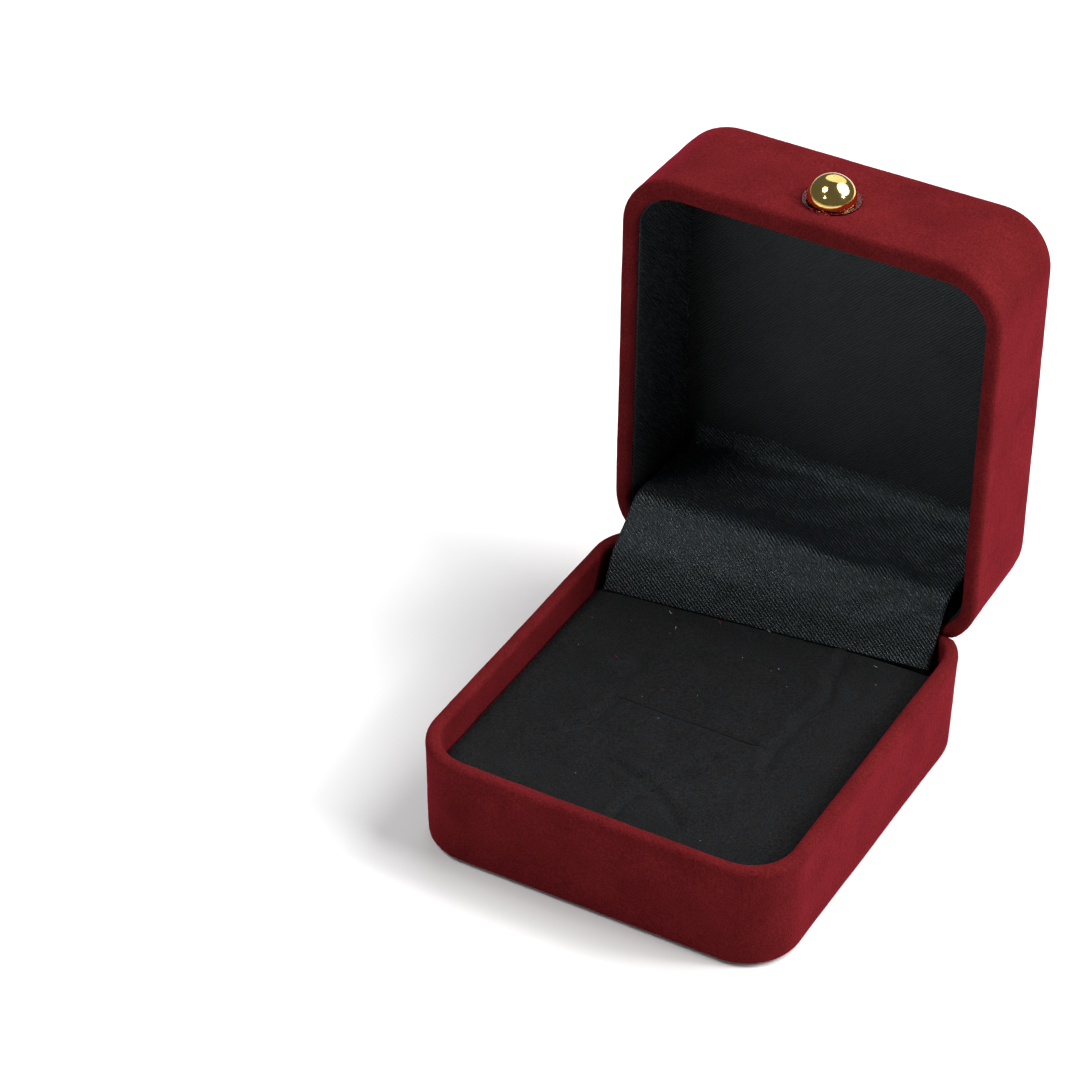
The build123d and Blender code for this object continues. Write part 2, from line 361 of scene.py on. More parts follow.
def satin(name, colour, shine):
    """Black satin: a fine diagonal twill whose floats catch the light in small glints."""
    made = Shader(
        name,
        roughness=0.42,
        specular_ior_level=shine,
        specular_tint=(0.80, 0.94, 1.0, 1),
        sheen_weight=0.04,
        sheen_roughness=0.4,
        sheen_tint=(0.75, 0.9, 1.0, 1),
    )
    turned = made.node("ShaderNodeMapping", rotation=(0, 0, radians(TWILL_ANGLE)))
    made.link(made.place(uv=True), turned.inputs["Vector"])
    lines = made.node(
        "ShaderNodeTexWave",
        scale=WAVE_PERIOD / TWILL_PITCH,
        distortion=2.2,
        detail=3.0,
        detail_scale=3.5,
    )
    made.link(turned.outputs["Vector"], lines.inputs["Vector"])
    twill = lines.outputs["Fac"]
    threads = made.noise(size=0.26, detail=2.0, roughness=0.7, uv=True)
    drift = made.noise(size=9.0, uv=True)
    fine = made.ramp(twill, [(0.1, scaled(colour, 0.65)), (0.9, scaled(colour, 1.35))])
    broad = made.ramp(drift, [(0.3, scaled(colour, 0.7)), (0.7, scaled(colour, 1.4))])
    made.link(made.mix(0.5, fine, broad), made.main.inputs["Base Color"])
    floats = made.math("MULTIPLY", twill, threads)
    roughness = made.ramp(floats, [(0.10, grey(0.50)), (0.42, grey(0.15))])
    made.link(roughness, made.main.inputs["Roughness"])
    made.bump(twill, distance=0.15 * shine)
    made.bump(threads, distance=0.20 * shine)
    return made.material


def gold():
    """Bright gold plate with faint polishing marks."""
    made = Shader("gold_plate", metallic=1.0, roughness=0.1)
    marks = made.noise(size=1.8, detail=4.0)
    tone = made.ramp(marks, [(0.3, (0.86, 0.60, 0.17)), (0.7, (0.95, 0.70, 0.24))])
    made.link(tone, made.main.inputs["Base Color"])
    roughness = made.ramp(marks, [(0.3, grey(0.07)), (0.8, grey(0.14))])
    made.link(roughness, made.main.inputs["Roughness"])
    made.bump(made.noise(size=0.5, detail=2.0, stretch=(1, 1, 6)), distance=0.004)
    return made.material


def clear_plastic():
    """The clear washer behind the ball."""
    made = Shader("clear_washer_plastic", roughness=0.02, ior=1.15, transmission_weight=1.0)
    tone = made.ramp(made.noise(size=2.0), [(0.3, (0.93, 0.90, 0.88)), (0.7, (1.0, 0.98, 0.96))])
    made.link(tone, made.main.inputs["Base Color"])
    made.bump(made.noise(size=0.9), distance=0.003)
    return made.material


def plain(name, dark, light, size, roughness, height, metallic=0.0):
    """A material with some grain: felt, board, moulded plastic, pressed steel or lint."""
    made = Shader(name, metallic=metallic, roughness=roughness)
    grain = made.noise(size, detail=5.0, roughness=0.6)
    made.link(made.ramp(grain, [(0.3, dark), (0.7, light)]), made.main.inputs["Base Color"])
    made.bump(grain, height)
    return made.material


red_velvet = velvet(
    "red_velvet_pile",
    colour=(0.102, 0.0094, 0.0108),
    sheen=(0.90, 0.05, 0.12),
    sheen_weight=0.32,
    nap=0.15,
    grain=0.36,
)
red_fluff = velvet(
    "red_velvet_fluff",
    colour=(0.24, 0.016, 0.022),
    sheen=(0.9, 0.15, 0.18),
    sheen_weight=0.3,
    nap=0.2,
    grain=0.3,
)
black_velvet = velvet(
    "black_velvet_pile",
    colour=(0.0118, 0.0122, 0.0128),
    sheen=(0.40, 0.42, 0.45),
    sheen_weight=0.12,
    nap=0.10,
    grain=0.50,
)
black_satin = satin("black_satin_twill", colour=(0.0036, 0.0044, 0.0048), shine=0.5)
# The lid's lining is the same cloth as the flap, but its colour is painted about four times lighter:
# painted fill light for the inside of the lid, which lies in shade.
lining_satin_painted_fill = satin("black_satin_lining_painted_fill", colour=(0.0150, 0.0157, 0.0161), shine=0.32)
gold_plate = gold()
washer_plastic = clear_plastic()
grey_lint = plain("pale_lint", (0.25, 0.26, 0.27), (0.45, 0.46, 0.46), 0.2, 0.9, 0.02)
wool = plain("base_felt_wool", grey(0.008), grey(0.028), 0.5, 0.95, 0.15)
board = plain("grey_board", (0.20, 0.17, 0.13), (0.30, 0.26, 0.21), 0.8, 0.9, 0.03)
plastic = plain("moulded_plastic", (0.075, 0.012, 0.014), (0.12, 0.022, 0.024), 1.5, 0.5, 0.02)
steel = plain("hinge_steel", (0.36, 0.36, 0.37), (0.62, 0.62, 0.63), 0.7, 0.32, 0.01, metallic=1.0)

# The CAD nodes that stay as they are
KEPT_NODES = (
    (wool, ("base_felt",)),
    (board, ("pad_card", "lid_top_card", "lid_wall_card")),
    (plastic, ("base_shell", "lid_shell")),
    (steel, ("hinge_base_leaf", "hinge_lid_leaf", "hinge_base_rivets", "hinge_lid_rivets")),
    (steel, ("hinge_pin", "knob_stem", "knob_push_nut")),
)


def paint_nodes():
    """Gives the CAD nodes that stay their materials."""
    for material, nodes in KEPT_NODES:
        for node in nodes:
            mesh = frame["nodes"][node].data
            mesh.materials.clear()
            mesh.materials.append(material)


# ---- velvet covers


def swept(stations, corner, profile, bend):
    """Points and faces of a closed profile carried round the stations. profile gives it for the
    outward direction's y, and bend moves each finished point."""
    points = []
    for (x, y), (nx, ny) in stations:
        for inset, z, under in profile(ny):
            reach = corner - inset
            points.append(bend(x + nx * reach, y + ny * reach, z, nx, ny, under))
    return points, grid_faces(len(stations), len(profile(0)), True, True)


def round_edge(inset, z, radius, start, end, count, under=False):
    """Profile points along a rounded edge about a centre. 0 degrees faces outwards and 90 up."""
    turns = arc(count, start, end)
    return [(inset - radius * cos(a), z + radius * sin(a), under) for a in turns]


def base_profile(ny):
    """The base's velvet, the same all round: from the felt's edge, up the wall, over the rim and
    down inside to its hem, then back along its underside. Each point is an inset, a height and
    whether it is on the underside."""
    height = BASE_RIM - BASE_BOTTOM

    def lean(z):
        return DRAFT * (BASE_RIM - z) / height

    foot_z = BASE_BOTTOM + BASE_EDGE
    outer_z = BASE_RIM - RIM_OUTER_ROLL
    inner_z = BASE_RIM - RIM_INNER_ROLL
    under_z = BASE_RIM - SKIN
    out = [(FELT_INSET, BASE_BOTTOM, False)]
    out += round_edge(lean(foot_z) + BASE_EDGE, foot_z, BASE_EDGE, -90, 0, 5)
    out += [(lean(z), z, False) for z in between(foot_z, outer_z, 12)[1:-1]]
    out += round_edge(RIM_OUTER_ROLL, outer_z, RIM_OUTER_ROLL, 0, 90, 6)
    out += round_edge(LINING - RIM_INNER_ROLL, inner_z, RIM_INNER_ROLL, 90, 180, 6)
    out += [(LINING, z, False) for z in between(inner_z, BASE_HEM_BOTTOM, 6)[1:]]
    out += [(WALL, BASE_HEM_BOTTOM, True), (WALL, under_z, True), (SKIN, under_z, True)]
    out += [(SKIN + lean(z), z, True) for z in between(under_z, foot_z, 5)[1:]]
    out.append((FELT_INSET, BASE_BOTTOM + SKIN, True))
    return out


def in_bay(x, y):
    """Whether a point is in the space that the hinge needs, up to the back wall."""
    return abs(x) < BAY_HALF and BAY_FRONT < y < WALL_INSIDE + 0.01


def base_bend(x, y, z, nx, ny, under):
    """Cuts the back rim to its bevel, clears the hinge and adds a little unevenness."""
    if y > HINGE_Y:
        limit = HINGE_Z - BEVEL_SLOPE * (y - HINGE_Y) - (BEVEL_SKIN if under else 0)
        z = soft_min(z, limit)
    if in_bay(x, y):
        y = WALL_INSIDE - (0 if under else BAY_HEM)
    if under:
        return (x, y, z)
    point = (x, y, z)
    push = waver(point, size=9.0, amount=0.07) + waver(point, size=2.4, amount=0.035, seed=3.0)
    lift = waver(point, size=6.0, amount=0.06, seed=7.0) * smooth(2, 5, z)  # the foot stays level
    return (x + nx * push, y + ny * push, z + lift)


def lid_profile(ny):
    """The lid's velvet, drawn closed: down from its hem, round the rim, up the wall, over the top
    edge and down into the recess, then back along its underside. ny is -1 at the front."""
    height = LID_TOP - LID_RIM
    frontness = max(0, -ny)
    lip = LIP - (LIP - LIP_FRONT) * frontness
    inside = LINING + LID_FRONT_EXTRA * frontness

    def lean(z):
        return DRAFT * (z - LID_RIM) / height

    inner_z = LID_RIM + RIM_INNER_ROLL
    outer_z = LID_RIM + RIM_OUTER_ROLL
    edge_z = LID_TOP - LID_EDGE
    centre = DRAFT + LID_EDGE
    lip_angle = degrees(acos((centre - lip + LIP_ROLL) / LID_EDGE))
    out = [(inside, z, False) for z in between(LID_RIM + LID_HEM, inner_z, 4)[:-1]]
    out += round_edge(inside - RIM_INNER_ROLL, inner_z, RIM_INNER_ROLL, 180, 270, 6)
    out += round_edge(RIM_OUTER_ROLL, outer_z, RIM_OUTER_ROLL, -90, 0, 6)
    out += [(lean(z), z, False) for z in between(outer_z, edge_z, 16)[1:-1]]
    out += round_edge(centre, edge_z, LID_EDGE, 0, lip_angle, 12)
    lip_z = out[-1][1]
    out += round_edge(lip - LIP_ROLL, lip_z - LIP_ROLL, LIP_ROLL, 90, 180, 4)[1:]
    out += [(lip, LID_TOP - POCKET_DEPTH, False), (lip - SKIN, LID_TOP - POCKET_DEPTH, True)]
    under_radius = LID_EDGE - SKIN
    under_angle = degrees(acos((centre - lip + SKIN) / under_radius))
    out += round_edge(centre, edge_z, under_radius, under_angle, 0, 5, under=True)
    out += [(SKIN + lean(z), z, True) for z in between(edge_z, LID_RIM + SKIN, 5)[1:]]
    under_hem = inside - HEM
    out += [(under_hem, LID_RIM + SKIN, True), (under_hem, LID_RIM + LID_HEM, True)]
    return out


def lid_bend(x, y, z, nx, ny, under):
    """The same for the lid, whose bevel faces down."""
    if y > HINGE_Y:
        limit = HINGE_Z + BEVEL_SLOPE * (y - HINGE_Y) + (BEVEL_SKIN if under else 0)
        z = -soft_min(-z, -limit)
    if in_bay(x, y) and z < LID_RIM + LID_HEM + 0.1:
        y = WALL_INSIDE - (0 if under else BAY_HEM)
    if under:
        return (x, y, z)
    point = (x, y, z)
    push = waver(point, size=10.0, amount=0.08, seed=11.0)
    push += waver(point, size=2.4, amount=0.035, seed=5.0)
    return (x + nx * push, y + ny * push, z + waver(point, size=7.0, amount=0.07, seed=2.0))


def velvet_covers():
    """The two velvet covers."""
    stations = ring(BASE_HALF, BASE_FRONT, BASE_BACK, CORNER)
    points, faces = swept(stations, CORNER, base_profile, base_bend)
    base = add_mesh("base_velvet", points, faces, red_velvet)
    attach(base, "base")
    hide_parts("base_velvet_cover")
    stations = ring(LID_HALF, LID_FRONT, LID_BACK, LID_CORNER)
    points, faces = swept(stations, LID_CORNER, lid_profile, lid_bend)
    lid = add_mesh("lid_velvet", points, faces, red_velvet, closed=True)
    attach(lid, "lid")
    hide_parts("lid_velvet_cover")


# ---- the sunburst

PETALS = 30
PER_PETAL = 12  # rays of the mesh in each petal
GROOVE_TURN = 0.25  # how much of a petal the first groove is turned by
PANEL_RINGS = 76
PANEL_GAP = 0.05
PANEL_CORNER = 6.0
PANEL_HALF = LID_HALF - LIP - PANEL_GAP
PANEL_FRONT = LID_FRONT + LIP_FRONT + PANEL_GAP
PANEL_BACK = LID_BACK - LIP - PANEL_GAP
PANEL_BOTTOM = LID_TOP - POCKET_DEPTH
PANEL_UNDER = PANEL_BOTTOM + 0.02
PANEL_THINNEST = 0.3
GROOVE_LEVEL = LID_TOP - 1.2
DOME = 0.55  # how much higher the panel's middle is than its sides
DOME_REACH = 30.0  # how far to the front and back it falls away
PETAL_TALL = 0.25  # next to the medallion
PETAL_GROWTH = 0.95  # as the petals widen
PETAL_ROUNDNESS = 0.75  # below 1 the petals are full, with narrow grooves
PETAL_GROWN = 13.0  # how far from the medallion they are fully grown
MEDALLION = (-1.9, 0.6)
MEDALLION_FRAME = (6.4, 7.0, 2.8)  # half its width, half its depth and its corner
MEDALLION_FACE = (4.3, 4.7, 2.2)
FRAME_TALL = 0.5
FRAME_WIDTH = 0.55
FACE_TALL = 0.75
EDGE_DROP = 0.15
WELT_Y = PANEL_FRONT + 0.9
WELT_TALL = 0.75
WELT_WIDTH = 0.62
WELT_LEFT = -24.5
WELT_RIGHT = 27.0
WELT_HOLLOW = 1.3  # how far behind the welt the velvet dips


def box_distance(x, y, half_x, half_y, corner):
    """How far a point is outside a rounded rectangle round 0, negative inside it."""
    dx = abs(x) - half_x + corner
    dy = abs(y) - half_y + corner
    return hypot(max(dx, 0), max(dy, 0)) + min(max(dx, dy), 0) - corner


def panel_depth(x, y):
    """How far inside the panel's edge a point is."""
    middle = (PANEL_FRONT + PANEL_BACK) / 2
    return -box_distance(x, y - middle, PANEL_HALF, (PANEL_BACK - PANEL_FRONT) / 2, PANEL_CORNER)


def panel_height(x, y):
    """The embossed velvet: petals round a framed medallion, on a slight dome."""
    from_x = x - MEDALLION[0]
    from_y = y - MEDALLION[1]
    reach = hypot(from_x, from_y)
    turn = atan2(from_y, from_x)
    across = (turn / (2 * pi) * PETALS + GROOVE_TURN) % 1 - 0.5
    depth = panel_depth(x, y)
    frontness = smooth(0.45, 0.95, -sin(turn))
    half_width = max(pi * reach / PETALS, 0.5)
    margin = 1.0 - 0.4 * frontness
    tip = 1.1 * half_width
    past_end = max(0, (tip - (depth - margin)) / tip)
    lobe = cos(pi / 2 * min(1, hypot(2 * across, past_end))) ** PETAL_ROUNDNESS
    outside = box_distance(from_x, from_y, *MEDALLION_FRAME)
    tall = PETAL_TALL + PETAL_GROWTH * smooth(0.2, PETAL_GROWN, outside)
    tall *= smooth(-0.1, 2.0, outside) * (1 - 0.5 * frontness)
    dome = DOME * (1 - (x / PANEL_HALF) ** 2) * (1 - (y / DOME_REACH) ** 2)
    face = smooth(0.9, -0.9, box_distance(from_x, from_y, *MEDALLION_FACE))
    rim = exp(-((outside + 0.1) / FRAME_WIDTH) ** 2)
    # The panel drops at its edge, except along the front, where the welt is
    edge = smooth(1.4, 0.0, depth) * (1 - frontness * smooth(24, 27, -y))
    height = GROOVE_LEVEL + dome + tall * lobe
    return height + FACE_TALL * face + FRAME_TALL * rim - EDGE_DROP * edge


def welt_height(x, y):
    """The fold of velvet that runs along the panel's front edge between two corners."""
    line = WELT_Y + waver((x, 0, 0), size=7.0, amount=0.35, seed=4.0)
    ends = smooth(WELT_LEFT, WELT_LEFT + 3.5, x) * smooth(WELT_RIGHT, WELT_RIGHT - 2.0, x)
    puckers = 0.6 + 0.8 * noise.noise((x / 3.1, 5, 0))
    hollow = 0.5 * exp(-((y - line - WELT_HOLLOW) / 0.7) ** 2) * puckers
    return ends * (WELT_TALL * exp(-((y - line) / WELT_WIDTH) ** 2) - hollow)


def sunburst_panel():
    """The embossed panel as one closed piece, on rays that follow the grooves."""
    rays = PETALS * PER_PETAL
    points = []
    for ring_index in range(1, PANEL_RINGS + 1):
        share = ring_index / PANEL_RINGS
        for ray in range(rays):
            turn = 2 * pi * (ray + GROOVE_TURN * PER_PETAL) / rays
            reach = ray_length(turn) * share
            x = MEDALLION[0] + cos(turn) * reach
            y = MEDALLION[1] + sin(turn) * reach
            height = panel_height(x, y) + welt_height(x, y)
            height += waver((x, y, 0), size=5.0, amount=0.14)
            height += waver((x, y, 0), size=1.6, amount=0.07, seed=9.0)
            points.append((x, y, max(height, PANEL_BOTTOM + PANEL_THINNEST)))
    faces = grid_faces(PANEL_RINGS, rays, False, True)
    edge = range(len(points) - rays, len(points))
    under = range(len(points), len(points) + rays)
    middle = len(points) + rays
    points += [(points[i][0], points[i][1], PANEL_UNDER) for i in edge]
    points.append((*MEDALLION, panel_height(*MEDALLION)))
    points.append((*MEDALLION, PANEL_UNDER))
    faces += band(edge, under) + fan(middle, range(rays)) + fan(middle + 1, under)
    panel = add_mesh("sunburst_panel", points, faces, red_velvet, closed=True)
    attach(panel, "lid")
    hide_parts("sunburst_velvet", "sunburst_core")


def ray_length(turn):
    """How far the panel reaches from the medallion's centre in one direction, by halving."""
    near = 0.0
    far = 60.0
    for _ in range(40):
        half = (near + far) / 2
        inside = panel_depth(MEDALLION[0] + cos(turn) * half, MEDALLION[1] + sin(turn) * half) > 0
        near, far = (half, far) if inside else (near, half)
    return near


# ---- the ring pad

PAD_GAP = 0.3
PAD_HALF = BASE_HALF - LINING - PAD_GAP
PAD_FRONT = BASE_FRONT + LINING + PAD_GAP
PAD_BACK = 26.0
PAD_CORNER = CORNER - LINING - PAD_GAP
PAD_BACK_CORNER = 1.0
PAD_MIDDLE = (PAD_FRONT + PAD_BACK) / 2
PAD_TOP = node_box("pad_velvet")[1][2]
PAD_BOTTOM = node_box("pad_velvet")[0][2]
PAD_EDGE = 1.1
PAD_SINK = 0.12  # how far its edges lie below PAD_TOP
PAD_CROWN = 0.3
SLIT_Y = -2.0
NOTCH_Y = 19.0
NOTCH_X = 12.3
# The slit for rings and the two notches behind it: middle x, middle y, half its width and depth
CUTS = ((0, SLIT_Y, 12.0, 7.0), (-NOTCH_X, NOTCH_Y, 1.3, 3.0), (NOTCH_X, NOTCH_Y, 1.3, 3.0))
CUT_OPENING = 0.12  # half of how far a cut gapes
CUT_DIP = 0.16
CUT_OFFSETS = (-1.5, -0.9, -0.5, -0.22, -CUT_OPENING, 0.0, CUT_OPENING, 0.22, 0.5, 0.9, 1.5)
EDGE_OFFSETS = (0.08, 0.2, 0.4, 0.7)
SIDE_COLUMNS = (0.98, 0.99, 0.997)  # extra columns of points near the sides
CREASE_WIDTH = 0.65
RIDGE_SHARE = 0.4  # the height of the ridge beside a crease, as a share of its depth
RIDGE_OFF = 1.4
RIDGE_WIDTH = 0.9
# Each crease's line over the pad, and its depth
CREASES = (
    (((12.8, 23.3), (13.6, 16.9), (15.2, 12.0), (14.4, 5.3), (13.5, -1.1), (14.4, -6.3)), 0.85),
    (((6.7, -7.2), (3.4, -14.5), (0.9, -19.9), (0.1, -25.9)), 1.0),
    (((-11.7, -3.1), (-11.7, -6.8), (-13.6, -10.1), (-17.9, -15.6)), 0.85),
    (((-12.3, -1.2), (-13.0, 9.6), (-12.9, 18.5)), 0.25),
    (((9.5, -23.1), (2.4, -17.8), (-6.7, -15.2)), 0.4),
)


def spaced(low, high, step, extra):
    """Rows from low to high about step apart, with extra rows that push out their neighbours."""
    even = between(low, high, round((high - low) / step) + 1)
    kept = []
    for row in even:
        if row in (low, high) or all(abs(row - other) > 0.3 * step for other in extra):
            kept.append(row)
    return sorted(set(kept + list(extra)))


def segment_distance(x, y, first, second):
    """Distance from a point to a straight run, and on which side of it the point is."""
    run_x = second[0] - first[0]
    run_y = second[1] - first[1]
    share = ((x - first[0]) * run_x + (y - first[1]) * run_y) / (run_x**2 + run_y**2)
    share = min(max(share, 0), 1)
    away_x = x - first[0] - share * run_x
    away_y = y - first[1] - share * run_y
    side = 1 if away_x * run_y - away_y * run_x > 0 else -1
    return hypot(away_x, away_y) * side


def crease_depth(x, y):
    """How far the creases pull the pad's cover down at a point."""
    total = 0.0
    wander = waver((x, y, 0), size=4.0, amount=0.9, seed=13.0)
    for line, depth in CREASES:
        runs = zip(line, line[1:])
        nearest = min((segment_distance(x + wander, y, a, b) for a, b in runs), key=abs)
        total += depth * exp(-((nearest / CREASE_WIDTH) ** 2))
        total -= RIDGE_SHARE * depth * exp(-(((nearest - RIDGE_OFF) / RIDGE_WIDTH) ** 2))
    return total


def cut_depth(x, y):
    """How far the velvet dips into the cuts, and the cuts themselves."""
    total = 0.0
    for middle_x, middle_y, half, depth in CUTS:
        along = smooth(half + 0.4, half - 0.4, abs(x - middle_x))
        off = abs(y - middle_y)
        total += along * (CUT_DIP * exp(-(off / 0.5) ** 2) + depth * max(0, 1 - off / CUT_OPENING))
    return total


def pad():
    """The black velvet pad: crowned, rounded along its edges, cut by the slit, with soft creases."""
    cut_rows = [y + offset for y in (SLIT_Y, NOTCH_Y) for offset in CUT_OFFSETS]
    edge_rows = [PAD_FRONT + offset for offset in EDGE_OFFSETS]
    edge_rows += [PAD_BACK - offset for offset in EDGE_OFFSETS]
    rows = spaced(PAD_FRONT, PAD_BACK, 0.6, cut_rows + edge_rows)
    # From -1 to 1 across the pad, closer together towards its sides
    columns = [sin(pi * (s - 0.5)) * 0.35 + (2 * s - 1) * 0.65 for s in between(0, 1, 97)]
    columns += SIDE_COLUMNS + tuple(-column for column in SIDE_COLUMNS)
    columns.sort()
    points = []
    for y in rows:
        from_end = min(y - PAD_FRONT, PAD_BACK - y)
        corner = PAD_CORNER if y < PAD_MIDDLE else PAD_BACK_CORNER
        pull = max(0, corner - from_end)
        half = PAD_HALF - corner + sqrt(max(corner**2 - pull**2, 0))
        for column in columns:
            x = column * half
            inside = -box_distance(x, y - PAD_MIDDLE, PAD_HALF, PAD_BACK - PAD_MIDDLE, corner)
            past = max(0, 1 - inside / PAD_EDGE)
            fall = PAD_EDGE * (1 - sqrt(max(0, 1 - past**2)))
            z = PAD_TOP - PAD_SINK + PAD_CROWN * smooth(0, 14, inside) - fall
            z += waver((x, y, 0), size=6.0, amount=0.12)
            z += waver((x, y, 0), size=1.5, amount=0.05, seed=2.0)
            points.append((x, y, z - crease_depth(x, y) - cut_depth(x, y)))
    count = len(columns)
    faces = grid_faces(len(rows), count)
    border = grid_border(len(rows), count)
    under = range(len(points), len(points) + len(border))
    points += [(points[i][0], points[i][1], PAD_BOTTOM) for i in border]
    faces += band(border, under)
    faces.append(tuple(under))
    piece = add_mesh("ring_pad", points, faces, black_velvet)
    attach(piece, "base")
    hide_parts("pad_velvet", "pad_foam")


# ---- satin

TOP_SATIN_LOW = node_box("lid_top_satin", closed=True)[0][2]
TOP_SATIN_HIGH = node_box("lid_top_satin", closed=True)[1][2]
WALL_SATIN_LOW = node_box("lid_wall_satin", closed=True)[0][2]
SATIN = 0.25  # its thickness on the walls
LINING_GAP = 0.05
LINING_RINGS = 34
LINING_PUCKERS = 34  # round the top lining, where it is drawn in at its edge
WALL_REACH = 6.6  # from a station to the lining on the wall there
FLAP_HALF = node_box("satin_flap")[1][0]
FLAP_SHIFT = -0.4  # it lies a little left of the middle
FLAP_THICK = 0.3
FLAP_COLUMNS = 86
# The strip's two sides, as (y, z) control points from under the pad's back edge to the lid's lining
FLAP_LEFT = (
    (26.7, 6.0), (26.7, 13.9), (23.5, 13.8), (19.9, 13.62), (19.8, 13.62), (20.5, 15.2),
    (21.9, 17.8), (23.6, 20.1), (26.4, 22.3), (29.4, 24.8), (31.2, 25.4), (36.0, 24.5),
    (43.0, 24.2), (47.4, 24.6), (48.5, 26.6), (48.9, 31.5),
)
FLAP_RIGHT = (
    (26.9, 6.0), (26.9, 12.8), (26.7, 13.3), (26.5, 13.5), (26.5, 13.6), (27.3, 14.8),
    (28.0, 16.2), (29.1, 18.2), (30.8, 20.4), (32.2, 22.2), (33.6, 22.9), (37.5, 23.2),
    (43.0, 24.4), (47.4, 25.6), (48.5, 27.4), (48.9, 32.5),
)


def top_slack(x, y):
    """How far the top lining hangs off its board."""
    return waver((x, y, 0), size=11.0, amount=0.35, seed=1.0)


def lining_top():
    """The satin over the board in the top of the lid, a little slack and drawn in at its edge."""
    corner = LID_CORNER - LINING
    half = LID_HALF - LINING - LINING_GAP
    front = LID_FRONT + LINING + LID_FRONT_EXTRA + LINING_GAP
    back = LID_BACK - LINING - LINING_GAP
    stations = ring(half, front, back, corner, step=1.2, turns=8)
    centre_y = (front + back) / 2
    face_z = TOP_SATIN_LOW - 0.1
    lower = []
    upper = []
    for index in range(1, LINING_RINGS + 1):
        share = 1 - (1 - index / LINING_RINGS) ** 1.4
        for (x, y), (nx, ny) in stations:
            edge_x = x + nx * corner
            edge_y = y + ny * corner
            px = edge_x * share
            py = centre_y + (edge_y - centre_y) * share
            inside = hypot(edge_x - px, edge_y - py)
            slack = top_slack(px, py) * smooth(0, 6, inside)
            pucker = 0.1 * sin(atan2(py, px) * LINING_PUCKERS) * exp(-inside / 1.6)
            drawn = 0.22 * exp(-inside / 0.9)
            lower.append((px, py, face_z + slack + pucker + drawn))
            upper.append((px, py, TOP_SATIN_HIGH))
    width = len(stations)
    second = len(lower)
    faces = grid_faces(LINING_RINGS, width, False, True)
    faces += [tuple(i + second for i in face) for face in faces]
    faces += band(range(second - width, second), range(2 * second - width, 2 * second))
    faces += fan(2 * second, range(width)) + fan(2 * second + 1, range(second, second + width))
    centres = [(0, centre_y, face_z + top_slack(0, centre_y)), (0, centre_y, TOP_SATIN_HIGH)]
    points = lower + upper + centres
    uv = [(x, y) for x, y, z in points]
    piece = add_mesh("lining_top", points, faces, lining_satin_painted_fill, closed=True, uv=uv)
    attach(piece, "lid")
    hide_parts("lid_top_satin")


def lining_stations():
    """The stations round the lid's walls, from one side of the hinge to the other."""
    stations = ring(LID_HALF, LID_FRONT, LID_BACK, LID_CORNER, step=1.2, turns=10)
    start = 0
    while not (stations[start][1][1] > 0.99 and stations[start][0][0] < -BAY_HALF):
        start += 1
    kept = []
    for (x, y), (nx, ny) in stations[start:] + stations[:start]:
        at_hinge = ny > 0.9 and abs(x + nx * WALL_REACH) < BAY_HALF
        if not at_hinge:
            kept.append(((x, y), (nx, ny)))
    return kept


def lining_walls():
    """The satin strip round the lid's walls, open at the back where the hinge is."""
    height = TOP_SATIN_LOW - WALL_SATIN_LOW
    levels = between(0, 1, 22)
    stations = lining_stations()
    points = []
    uv = []
    length = 0.0
    last = None
    for (x, y), (nx, ny) in stations:
        lined = LINING + LID_FRONT_EXTRA * max(0, -ny)
        here = (x + nx * (LID_CORNER - lined), y + ny * (LID_CORNER - lined))
        if last:
            length += hypot(here[0] - last[0], here[1] - last[1])
        last = here
        for share in levels:
            z = WALL_SATIN_LOW + height * share
            slack = waver((*here, z), size=8.0, amount=0.12, seed=6.0) * sin(pi * share)
            reach = LID_CORNER - (lined + SATIN + slack)
            points.append((x + nx * reach, y + ny * reach, z))
            uv.append((length, height * share))
        for share in reversed(levels):
            points.append((*here, WALL_SATIN_LOW + height * share))
            uv.append((length, height * share))
    count = 2 * len(levels)
    faces = grid_faces(len(stations), count, False, True)
    faces.append(tuple(range(count)))
    faces.append(tuple((len(stations) - 1) * count + i for i in range(count)))
    piece = add_mesh("lining_walls", points, faces, lining_satin_painted_fill, closed=True, uv=uv)
    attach(piece, "lid")
    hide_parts("lid_wall_satin")


def rounded(points):
    """A smooth line along a row of control points, by cutting its corners three times."""
    for _ in range(3):
        cut = [points[0]]
        for (y, z), (next_y, next_z) in zip(points, points[1:]):
            cut.append((0.75 * y + 0.25 * next_y, 0.75 * z + 0.25 * next_z))
            cut.append((0.25 * y + 0.75 * next_y, 0.25 * z + 0.75 * next_z))
        points = cut + [points[-1]]
    return points


def flap_wave(x, share):
    """How far the loose satin stands off its even curve, at a share of its length."""
    free = smooth(0.26, 0.42, share) * smooth(0.98, 0.8, share)
    folds = 0.16 * sin(x / 8.5 + 0.6 + 2.0 * share) + 0.12 * sin(x / 4.1 + 5.0 * share)
    folds += waver((x, 60 * share, 0), size=5.0, amount=0.35, seed=8.0)
    folds += waver((x, 60 * share, 0), size=2.2, amount=0.10, seed=1.0)
    curl = 0.3 * exp(-(FLAP_HALF - abs(x - FLAP_SHIFT)) / 1.8)
    return free * (folds + curl)


